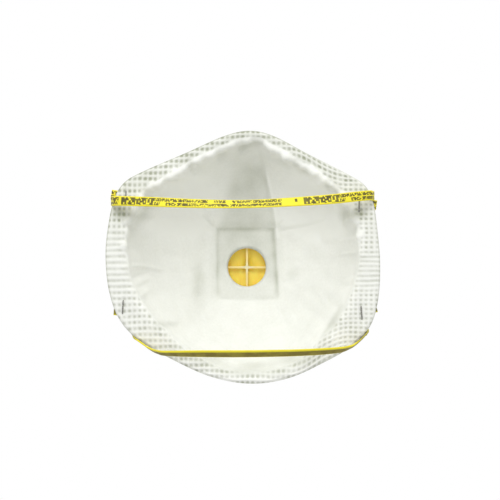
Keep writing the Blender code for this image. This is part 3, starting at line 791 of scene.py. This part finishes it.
def liner_relief(cup, face):
    """How far the liner's seen face stands towards the wearer, how deep its flange is pressed, and
    how much painted shade darkens its fabric, less where painted light brightens it."""
    low = low_enough(cup)
    x, z = face[..., 0], face[..., 2]
    level = face[..., 1] - rim_lift(z) + WALL_THICKNESS
    height = cup[..., 1] - rim_lift(cup[..., 2])
    from_corner = beyond_foot(face) + WALL_THICKNESS
    beside = 1 - ease(from_corner, 0.5, 3.5)
    bead, flat = bead_and_flat(cup, level, from_corner, z)
    press = embossing(face) * flat * low
    gathers = wall_gathers(height, x, z) * beside
    roll = beside * (1 - ease(height, 3, 12)) * ease(z, 8, 26)
    swell = 0.35 + sum(h * bell(np.hypot(x - a, z - b), r) for a, b, h, r in SWELLS)
    edge_gap, plate_shade = plate_gap_and_shade(cup)
    # a groove round the panel's edge, which below also gets painted shade
    groove = bell(edge_gap, 1.5) * (0.3 + 0.25 * ease(x, -8, 8)) * ease(z, -24, -19) * near_panel(cup)
    on_wall = ease(height, 1, 4)
    folds = ridge_field(x, z, LINER_FOLDS) * on_wall
    soft = 0.25 * lumps(cup, 7, 7) * on_wall
    dents = 0.45 * staple_dents(cup)
    for dent_x, dent_z, depth, radius in DENTS:
        dents += depth * bell(np.hypot(x - dent_x, z - dent_z), radius)
    relief = (BEAD_HEIGHT * bead * low - PIT_DEPTH * press + roll * swell - groove + folds + soft
              - dents + GATHER_HEIGHT * np.maximum(gathers, -GATHER_DEEPEST))
    relief = np.maximum(relief, -DEEPEST)
    # painted shade inside the plate's outline, more towards its top, in the groove and on the facet above
    # the plate
    dark = 0.38 * plate_shade * ease(z, -30, 8) + 0.14 * plate_shade + 0.9 * groove + 0.44 * crown_facet(x, z)
    # painted shade in the hollows between the gathers and in the upper flange's pits
    dark += 1.5 * np.maximum(-gathers, 0) + 0.25 * press * ease(z, 18, 40)
    # painted shade on the upper flange, which faces down, away from the lamp
    dark += low * flat * 0.40 * ease(z, 26, 44)
    # painted shade on the lower flange beside the wall's foot
    dark += low * flat * 0.16 * ease(-z, 24, 46) * (1 - ease(from_corner, 2.0, 5.5))
    # painted highlight along the crest of the first ridge, below z 40
    crest = distance_to_line(x, z, RIDGES[0][0])[0]
    dark -= 0.3 * bell(crest, 0.8) * (1 - ease(z, 40, 48))
    # painted shade along the flange's outer edge, and the long bands of painted shade
    from_rim = np.linalg.norm(cup - cup[:1], axis=2)
    dark += ridge_field(x, z, SHADES) + 0.5 * (1 - ease(from_rim, 0.3, 0.9))
    # patches of painted shade, and of painted light where the strength is negative
    for patch_x, patch_z, half_width, half_height, strength in PAINTED_SHADE_AND_LIGHT:
        dark += strength * bell(np.hypot((x - patch_x) / half_width, (z - patch_z) / half_height), 1)
    return relief, press, dark * (1 + 0.5 * lumps(cup, 8, 11))


def fabric(name, face, hidden_depth, look, slot, **stored):
    """A layer's sheet behind its seen face, with the numbers that its material reads."""
    coarse = coarse_cup()
    mesh = two_faced_sheet(name, face, face_at(coarse, hidden_depth, thickness_share(coarse)))
    for kind, values in stored.items():
        store(mesh, kind, values)
    return new_object(name, mesh, look, "mask_body")


def inner_liner():
    cup = fine_cup()
    share = thickness_share(cup)
    outer, inner = LAYERS["inner_liner"]
    face = crisp_foot(face_at(cup, inner, share), *FINE_RINGS[:2])
    relief, press, dark = liner_relief(cup, face)
    face -= grid_normals(face) * (relief * share)[..., None]
    face[-1, :, 0] *= LINER_PORT / PORT_RADIUS
    face[-1, :, 2] = PORT_Z + (face[-1, :, 2] - PORT_Z) * LINER_PORT / PORT_RADIUS
    look = nonwoven("liner_fabric", (0.900, 0.909, 0.867), (0.350, 0.369, 0.280), 0.10)
    obj = fabric("inner_liner_fabric", face, outer, look, "liner_nonwoven", press=press, dark=dark)
    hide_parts("inner_liner")


def outer_shell():
    cup = fine_cup()
    share = thickness_share(cup)
    outer, inner = LAYERS["outer_shell"]
    on_flange = ease(beyond_foot(cup), 1.6, 2.4) * low_enough(cup)
    press = embossing(cup) * on_flange
    relief = -SHELL_PIT_DEPTH * press + 0.12 * lumps(cup, 6, 8) * (1 - on_flange)
    face = face_at(cup, outer, share) + grid_normals(cup) * (relief * share)[..., None]
    look = nonwoven("shell_fabric", (0.85, 0.855, 0.82), (0.467, 0.480, 0.420), 0.08)
    obj = fabric("outer_shell_fabric", face, inner, look, "outer_nonwoven", press=press)
    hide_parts("outer_shell")


def filter_layer():
    cup = coarse_cup()
    outer, inner = LAYERS["filter_layer"]
    face = face_at(cup, outer, thickness_share(cup))
    look = nonwoven("filter_fleece", (0.88, 0.89, 0.88), (0.68, 0.69, 0.697), 0.05)
    obj = fabric("filter_fleece", face, inner, look, "filter_meltblown", press=np.zeros(1))
    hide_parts("filter_layer")


# ------------------------------ straps

def on_flange(x, z, depth):
    return np.array([x, float(rim_lift(z)) + depth, z])


def edge_wrap(edge, outward):
    """A strap's centre round the flange's edge, from its outer side to its back."""
    high, low = on_flange(*edge, RETURN_DEPTH), on_flange(*edge, BACK_DEPTH)
    middle, half, bulge = (high + low) / 2, (high - low) / 2, np.array([outward * EDGE_BULGE, 0, 0])
    return [middle + half * math.cos(t) + bulge * math.sin(t) for t in np.linspace(0, math.pi, 11)]


def resampled(rows, spacing=0.5, rounds=3):
    """Rows of numbers, even along the line of their first three, with the corners eased."""
    rows = np.array(rows, float)
    run = run_along(rows[:, :3])
    steps = np.linspace(0, run[-1], int(run[-1] / spacing) + 1)
    even = np.stack([np.interp(steps, run, column) for column in rows.T], axis=1)
    for _ in range(rounds):
        even[1:-1] = (even[:-2] + 2 * even[1:-1] + even[2:]) / 4
    return even


def folded_end(tip, fold, edge=None, outward=0):
    """Rows of centre and width direction for a stapled end: tail, diagonal fold, return, edge wrap.

    The tail runs from tip to fold and the return from fold to edge, all as (x, z) on the flange.
    Without an edge the rows end at the fold, which turns the strap downwards."""
    tip, fold = np.array(tip, float), np.array(fold, float)
    coming = unit(np.array(edge) - fold if edge else np.array([0.0, -1.0]))
    going = unit(fold - tip)
    away = unit(going - coming)
    line = np.array([-away[1], away[0]])
    if line[1] < 0:
        line = -line
    rows = []

    def add(point, depth, width):
        rows.append([*on_flange(*point, depth), width[0], 0, width[1]])

    def upright(direction):
        side = np.array([-direction[1], direction[0]])
        return side if side @ line > 0 else -side

    stretch = 1 / max(abs(line @ upright(going)), 0.5)
    near = 2.4
    for t in np.linspace(0, 1, 5):
        add(tip + (fold - going * near - tip) * t, TAIL_DEPTH, upright(going))
    radius, middle = (RETURN_DEPTH - TAIL_DEPTH) / 2, (RETURN_DEPTH + TAIL_DEPTH) / 2
    for a in np.linspace(0, math.pi, 7):
        add(fold + away * radius * math.sin(a), middle - radius * math.cos(a), line * stretch)
    if edge:
        start = fold + coming * near
        for t in np.linspace(0, 0.92, 5):
            add(start + (edge - start) * t, RETURN_DEPTH, upright(coming))
        rows += [[*point, 0, 0, 1] for point in edge_wrap(edge, outward)]
    return rows


def route_rows(route, samples=8):
    """Rows of a free band from points (x, y, z, lean in degrees)."""
    line = smooth_line(route, samples)
    lean = np.radians(line[:, 3])
    return [[*p[:3], 0, -math.sin(a), math.cos(a)] for p, a in zip(line, lean)]


def strap(name, left, route, right, look, band):
    rows = resampled([*left, *route_rows(route), *right[::-1]])
    mesh = strip(name, rows[:, :3], rows[:, 3:], np.full(len(rows), STRAP_WIDTH), STRAP_THICKNESS)
    obj = new_object(name, mesh, look, None)
    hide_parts(f"{band}_headband", f"{band}_headband_end_left", f"{band}_headband_end_right")
    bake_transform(obj)


# The bands' routes as (x, y, z, lean in degrees)
UPPER_BAND = ((-66.2, -4.7, 28.9, 0), (-60, -7.4, 28.7, -4), (-45, -12.5, 28.1, -15),
              (-22, -16.6, 27.1, -30), (1, -18, 26.8, -36), (23, -16.6, 27.7, -30),
              (45, -12.5, 29.3, -15), (60, -7.4, 31.0, -4), (66.4, -4.7, 31.6, 0))
LOWER_BAND = ((-53.4, -0.5, -43.5, 84), (-50.6, -2.3, -45.3, 83), (-47.9, -4.6, -46.9, 80),
              (-43.6, -8.4, -48.5, 73), (-38.0, -11.8, -49.1, 61), (-20.5, -16.4, -48.9, 49),
              (5.2, -18.4, -48.7, 46), (30.9, -16.0, -48.2, 49), (49.3, -9.5, -47.3, 57),
              (55.4, -6.2, -46.0, 75), (58.3, -4.2, -44.4, 81), (60.9, -2.1, -42.3, 84),
              (63.1, -0.3, -40.2, 85))


def over_the_rim(fold, rim, outward):
    """Rows of a strap that runs from its fold down the flange and turns on edge past the rim: at each
    share of the way, its depth and its turn in degrees."""
    fold, rim = np.array(fold, float), np.array(rim, float)
    going = unit(rim - fold)
    flat = np.array([-going[1], going[0]])
    flat *= np.sign(flat @ outward)
    rows = []
    for share, depth, turn in ((0.3, 2.35, 0), (0.6, 2.3, 10), (0.82, 2.0, 36), (1.0, -0.3, 82)):
        point, a = fold + (rim - fold) * share, math.radians(turn)
        rows.append([*on_flange(*point, depth), flat[0] * math.cos(a), -math.sin(a), flat[1] * math.cos(a)])
    return rows


def straps():
    printed = elastic("printed_elastic", (0.050, 0.040, 0.008), 0.72, 0.93, 84.0,
                      ((0.13, 0.46), (0.55, 0.88)), (0.76, 0.95))
    strap("upper_strap",
          folded_end((-68.2, 32.4), (-57.6, 30.6), (-66.6, 28.9), outward=-1), UPPER_BAND,
          folded_end((69.0, 26.6), (57.6, 28.2), (66.3, 31.4), outward=1),
          printed, "upper")
    left, right = np.array([-0.76, -0.65]), np.array([0.76, -0.65])
    # the lower strap's print is so dense that it also stands in for painted shade on the strap's downward
    # face
    dense = elastic("dense_print_shade_elastic", (0.085, 0.050, 0.003), 1.0, 1.0, PRINT_PERIOD,
                    ((0.10, 0.50), (0.50, 0.78)), (0.68, 0.84), ((23.0, 6.0), (158.0, 11.0)))
    strap("lower_strap",
          folded_end((-66.7, -27.6), (-57.6, -28.2))
          + over_the_rim((-57.0, -29.0), (-55.4, -42.2), left),
          LOWER_BAND,
          folded_end((69.0, -25.8), (58.0, -28.6))
          + over_the_rim((58.0, -29.4), (64.3, -38.8), right),
          dense, "lower")


# ------------------------------ staples

def rounded_path(corners, radius, steps=5):
    """A flat path whose inner corners are turned into arcs."""
    corners = [np.array(c, float) for c in corners]
    path = [corners[0]]
    for before, corner, after in zip(corners, corners[1:], corners[2:]):
        a, b = before - corner, after - corner
        cut = min(radius, np.linalg.norm(a) / 2, np.linalg.norm(b) / 2)
        start, end = corner + unit(a) * cut, corner + unit(b) * cut
        for t in np.linspace(0, 1, steps):
            path.append(start * (1 - t) ** 2 + corner * 2 * t * (1 - t) + end * t * t)
    return [*path, corners[-1]]


def staples():
    look = drawn_wire()
    inside, outside = -WALL_THICKNESS + 0.05, RETURN_DEPTH - TAIL_DEPTH - 0.35
    for name in STAPLES:
        centre, crown = staple_place(name)
        legs = [(0.5, outside + 0.25), (CROWN_HALF - 0.3, outside), (CROWN_HALF, outside - 0.6),
                (CROWN_HALF, inside)]
        path = rounded_path(legs + [(-u, y) for u, y in legs[::-1]], 0.5)
        curve = bpy.data.curves.new(f"wire_staple_{name}", "CURVE")
        curve.dimensions = "3D"
        curve.bevel_depth = WIRE_RADIUS * MM
        curve.bevel_resolution = 4
        curve.use_fill_caps = True
        spline = curve.splines.new("POLY")
        spline.points.add(len(path) - 1)
        for point, (u, y) in zip(spline.points, path):
            x, z = centre + crown * u
            point.co = (*(Vector((x, float(rim_lift(z)) + y, z)) * MM), 1)
        obj = new_object(f"wire_staple_{name}", curve, look, "mask_body")
        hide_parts(f"staple_{name}")


# ------------------------------ nose clip

CLIP_WIDTH, CLIP_THICKNESS, CLIP_CORNER = 5.0, 0.8, 1.8


def nose_clip():
    """A soft metal strip bent over the bridge, with rounded ends and a slightly uneven line."""
    spread = np.linspace(-40, 40, 161)
    angles = np.radians(90 + spread)
    middle, front = (skewed(wall_ring(d, angles)) for d in (20.0, 21.0))
    across = front - middle
    out = unit(np.cross(across, np.gradient(middle, axis=0)))
    out *= np.sign((out * middle).sum(1))[:, None]
    centres = middle + out * (0.85 + 0.12 * np.sin(spread / 4.0))[:, None]
    run = run_along(centres)
    into_corner = np.maximum(CLIP_CORNER - np.minimum(run, run[-1] - run), 0)
    cut_back = CLIP_CORNER - np.sqrt(np.maximum(CLIP_CORNER ** 2 - into_corner ** 2, 0))
    widths = np.maximum(CLIP_WIDTH - 2 * cut_back, 0.85)
    mesh = strip("bent_nose_clip", centres, across, widths, CLIP_THICKNESS)
    obj = new_object("bent_nose_clip", mesh, satin_aluminium(), "mask_body")
    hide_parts("nose_clip")


# ------------------------------ exhalation valve

SEAT_HALF = (16.0, 19.0)
SEAT_BACK, SEAT_FRONT = 48.3, 49.5
COLLAR_RADIUS, COLLAR_BORE, LIP = 11.0, 10.3, 0.4
FLAP_BACK, FLAP_FRONT = 50.2, 50.7
COVER_BACK = 49.8
FLAP_HALF, FLAP_CENTRE_Z = (11.8, 13.5), PORT_Z + 2.0
PIN_X, PIN_Z, PIN_RADIUS, PIN_HOLE = 5.0, 7.7, 0.8, 1.25
VALVE_AROUND = 120


def rounded_outline(half, power=PANEL_SQUARENESS):
    angles = turns(VALVE_AROUND)
    radius = superellipse(half, angles, power)
    return radius * np.cos(angles), radius * np.sin(angles)


def stack_rings(rings):
    """Points and faces of rings given as (x array, z array, y), in order."""
    grid = np.stack([np.stack([x, np.full(len(x), float(y)), z], axis=1) for x, z, y in rings])
    return grid.reshape(-1, 3), grid_faces(len(rings), grid.shape[1])


def moulded(name, shapes):
    """Closed shapes, each given as points and faces, as one mesh with crisp corners."""
    points, faces = [], []
    for shape_points, shape_faces in shapes:
        faces += [[len(points) + i for i in f] for f in shape_faces]
        points += [*shape_points]
    mesh = mesh_from(name, points, faces)
    mesh.set_sharp_from_angle(angle=math.radians(40))
    return mesh


def turned(profile, centre_z=PORT_Z, around=96):
    """A closed profile of (radius, y) turned about an axis along Y."""
    angles = turns(around)
    rings = [(r * np.cos(angles), centre_z + r * np.sin(angles), y) for r, y in profile]
    return stack_rings([*rings, rings[0]])


def rounded_box(low, high, radius=0.25, steps=3):
    """A box whose edges are rounded, as points and faces."""
    bm = bmesh.new()
    bmesh.ops.create_cube(bm, size=1)
    low, high = np.array(low, float), np.array(high, float)
    for vertex in bm.verts:
        vertex.co = Vector((low + high) / 2 + np.array(vertex.co) * (high - low))
    bmesh.ops.bevel(bm, geom=bm.edges[:], offset=radius, segments=steps, profile=0.5, affect="EDGES")
    bm.verts.index_update()
    points = [v.co[:] for v in bm.verts]
    faces = [[v.index for v in f.verts] for f in bm.faces]
    bm.free()
    return points, faces


def valve_seat():
    """Plate with a rounded edge, port collar with its sealing lip, cross bars, hub and pins."""
    angles = turns(VALVE_AROUND)
    bore = ((COLLAR_RADIUS - 0.2) * np.cos(angles), PORT_Z + (COLLAR_RADIUS - 0.2) * np.sin(angles))

    def outline(inset):
        x, z = rounded_outline((SEAT_HALF[0] - inset, SEAT_HALF[1] - inset))
        return x, z + PANEL_CENTRE_Z

    rings = [(*bore, SEAT_BACK), (*outline(0.3), SEAT_BACK), (*outline(0.06), SEAT_BACK + 0.12),
             (*outline(0), SEAT_BACK + 0.3), (*outline(0), SEAT_FRONT - 0.3),
             (*outline(0.06), SEAT_FRONT - 0.12), (*outline(0.3), SEAT_FRONT), (*bore, SEAT_FRONT)]
    back, front = PANEL_DEPTH - WALL_THICKNESS + 0.12, SEAT_FRONT + LIP
    reach, half, hub_radius = (COLLAR_BORE + COLLAR_RADIUS) / 2, 0.62, 1.15
    low, high = SEAT_BACK - 0.65, SEAT_BACK + 0.65
    shapes = [
        stack_rings([*rings, rings[0]]),
        turned([(COLLAR_BORE, back + 0.2), (COLLAR_BORE + 0.15, back),
                (COLLAR_RADIUS - 0.15, back), (COLLAR_RADIUS, back + 0.2),
                (COLLAR_RADIUS, front - 0.2), (COLLAR_RADIUS - 0.25, front),
                (COLLAR_BORE + 0.15, front), (COLLAR_BORE, front - 0.2)]),
        rounded_box((-reach, low, PORT_Z - half), (reach, high, PORT_Z + half)),
        rounded_box((-half, low + 0.02, PORT_Z - reach), (half, high - 0.02, PORT_Z + reach)),
        turned([(0.02, low - 0.18), (hub_radius - 0.2, low - 0.18), (hub_radius, low + 0.02),
                (hub_radius, high), (0.02, high)], around=40)]
    for side in (-1, 1):
        points, faces = turned([(0.02, SEAT_FRONT - 0.5), (PIN_RADIUS, SEAT_FRONT - 0.5),
                                (PIN_RADIUS, FLAP_FRONT + 0.35), (PIN_RADIUS - 0.25, FLAP_FRONT + 0.6),
                                (0.02, FLAP_FRONT + 0.6)], centre_z=PIN_Z, around=24)
        shapes.append((points + [PIN_X * side, 0, 0], faces))
    obj = new_object("moulded_valve_seat", moulded("moulded_valve_seat", shapes), seat_plastic(),
                     "mask_body")
    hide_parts("valve_seat")


def valve_flap():
    """The elastic flap: a rounded rim, a shallow groove inside it and two holes for the pins."""
    def ring(share, y):
        x, z = rounded_outline((FLAP_HALF[0] * share, FLAP_HALF[1] * share), 3.6)
        return x, z + FLAP_CENTRE_Z, y

    groove = FLAP_FRONT - 0.08
    rings = [ring(*r) for r in (
        (0.02, FLAP_BACK), (0.5, FLAP_BACK), (0.8, FLAP_BACK), (0.985, FLAP_BACK),
        (1.0, FLAP_BACK + 0.12), (1.0, FLAP_FRONT - 0.12), (0.985, FLAP_FRONT), (0.93, FLAP_FRONT),
        (0.915, groove), (0.86, groove), (0.845, FLAP_FRONT), (0.5, FLAP_FRONT), (0.02, FLAP_FRONT))]
    mesh = moulded("amber_flap", [stack_rings([*rings, rings[0]])])
    obj = new_object("amber_flap", mesh, flap_rubber(), None)
    angles = turns(28)
    for side in (-1, 1):
        hole = [(PIN_X * side + PIN_HOLE * np.cos(angles), PIN_Z + PIN_HOLE * np.sin(angles), y)
                for y in (FLAP_BACK - 1, FLAP_FRONT + 1)]
        cut(obj, solid_between(*hole))
    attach(obj, "diaphragm")
    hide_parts("valve_diaphragm")


def solid_between(low, high):
    points, faces = stack_rings([low, high])
    n = len(low[0])
    return points, [*faces, tuple(range(n)), tuple(range(n, 2 * n))]


def cut(obj, shape):
    """Take a closed shape out of the object for good."""
    points, faces = shape
    tool = linked("cutter", mesh_from("cutter", points, faces, False))
    modifier = obj.modifiers.new("cut", "BOOLEAN")
    modifier.object = tool
    modifier.operation = "DIFFERENCE"
    keep_modifiers(obj)
    bpy.data.objects.remove(tool, do_unlink=True)


def keep_modifiers(obj):
    """Turn what the modifiers make into the object's own mesh."""
    bpy.context.view_layer.update()
    shown = obj.evaluated_get(bpy.context.evaluated_depsgraph_get())
    mesh = bpy.data.meshes.new_from_object(shown)
    obj.modifiers.clear()
    obj.data = mesh


def valve_cover():
    """A shallow moulded cap: rounded shoulders, side slots, a raised border and a recessed middle."""
    def ring(inset, depth, share=1.0):
        x, z = rounded_outline(((SEAT_HALF[0] - inset) * share, (SEAT_HALF[1] - inset) * share))
        return x, z + PANEL_CENTRE_Z, COVER_BACK + depth

    outer = [(0.0, 0.15), (0.02, 0.6), (0.35, 2.4), (0.7, 4.5), (0.95, 5.6), (1.3, 6.6), (1.7, 7.25),
             (2.1, 7.65), (2.6, 7.9), (3.1, 8.0), (4.3, 8.0), (4.6, 7.75), (5.2, 7.7),
             (5.2, 7.7, 0.4), (5.2, 7.7, 0.01)]
    inner = [(5.2, 7.0, 0.01), (5.2, 7.0), (3.6, 6.9), (2.9, 6.6), (2.35, 6.0), (1.95, 5.3),
             (1.7, 4.4), (1.35, 2.4), (1.0, 0.6), (1.0, 0.0), (0.25, 0.0), (0.08, 0.05)]
    mesh = moulded("slotted_valve_cap", [stack_rings([ring(*r) for r in outer + inner + outer[:1]])])
    obj = new_object("slotted_valve_cap", mesh, None, None)
    count, pitch, height = 6, 4.4, 1.9
    for k in range(count):
        z = PANEL_CENTRE_Z - 1.5 + (k - (count - 1) / 2) * pitch
        cut(obj, rounded_box((-18, COVER_BACK + 1.4, z - height / 2),
                             (18, COVER_BACK + 4.8, z + height / 2), 0.35))
    obj.data.materials.clear()
    obj.data.materials.append(valve_cap_plastic())
    obj.data.shade_smooth()
    obj.data.set_sharp_from_angle(angle=math.radians(38))
    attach(obj, "mask_body")
    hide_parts("valve_cover")


# ------------------------------ studio

# In metres and degrees
LAMP_PLACE = (-0.12, -0.95, 1.08)
FLOOR_RADIUS, FLOOR_Z = 2.0, -0.45
CAMERA_AIM, CAMERA_DISTANCE, CAMERA_YAW = (0.0039, 0.0036), 0.9, 2.7


def studio():
    """Soft light from all round, a soft lamp above the wearer's side, and a pale floor far below."""
    world = bpy.data.worlds.new("studio")
    bpy.context.scene.world = world
    world.use_nodes = True
    background = world.node_tree.nodes["Background"]
    background.inputs["Color"].default_value = (1, 1, 1, 1)
    nodes = Nodes(world.node_tree)
    direction = nodes.node("ShaderNodeTexCoord").outputs["Generated"]
    parts = nodes.node("ShaderNodeSeparateXYZ", {0: direction})
    ahead = nodes.span(parts.outputs[1], -0.5, 0.6, 0.95, 1.0)
    above = nodes.span(parts.outputs[2], -0.50, -0.17, 0.80, 1.0)
    world.node_tree.links.new(nodes.product(ahead, above), background.inputs["Strength"])

    lamp = bpy.data.lights.new("soft_key", "AREA")
    lamp.shape, lamp.size, lamp.energy = "DISK", 0.7, 9.0
    key = linked("soft_key", lamp)
    key.location = LAMP_PLACE
    key.rotation_euler = (-key.location).to_track_quat("-Z", "Y").to_euler()

    floor = Shading("pale_floor")
    speckle = floor.noise(floor.place(), 40, 3)
    floor.finish(Base_Color=floor.mix(speckle, (0.55, 0.55, 0.545), (0.51, 0.51, 0.505)), Roughness=0.9)
    bm = bmesh.new()
    bmesh.ops.create_circle(bm, cap_ends=True, radius=FLOOR_RADIUS, segments=96)
    mesh = bpy.data.meshes.new("floor")
    bm.to_mesh(mesh)
    bm.free()
    disc = linked("floor", mesh)
    disc.location.z = FLOOR_Z
    mesh.materials.append(floor.material)


def camera():
    """Level with the cup's middle, a little to the side, looking into its hollow."""
    data = bpy.data.cameras.new("camera")
    data.sensor_width, data.lens = 36, 125.8
    obj = linked("camera", data)
    yaw = math.radians(CAMERA_YAW)
    aim_x, aim_z = CAMERA_AIM
    obj.location = (aim_x + CAMERA_DISTANCE * math.sin(yaw), -CAMERA_DISTANCE * math.cos(yaw), aim_z)
    obj.rotation_euler = (math.radians(90), 0, yaw)
    bpy.context.scene.camera = obj
    bpy.context.scene.view_settings.view_transform = "Standard"


outer_shell()
filter_layer()
inner_liner()
straps()
staples()
nose_clip()
valve_seat()
valve_flap()
valve_cover()
studio()
camera()
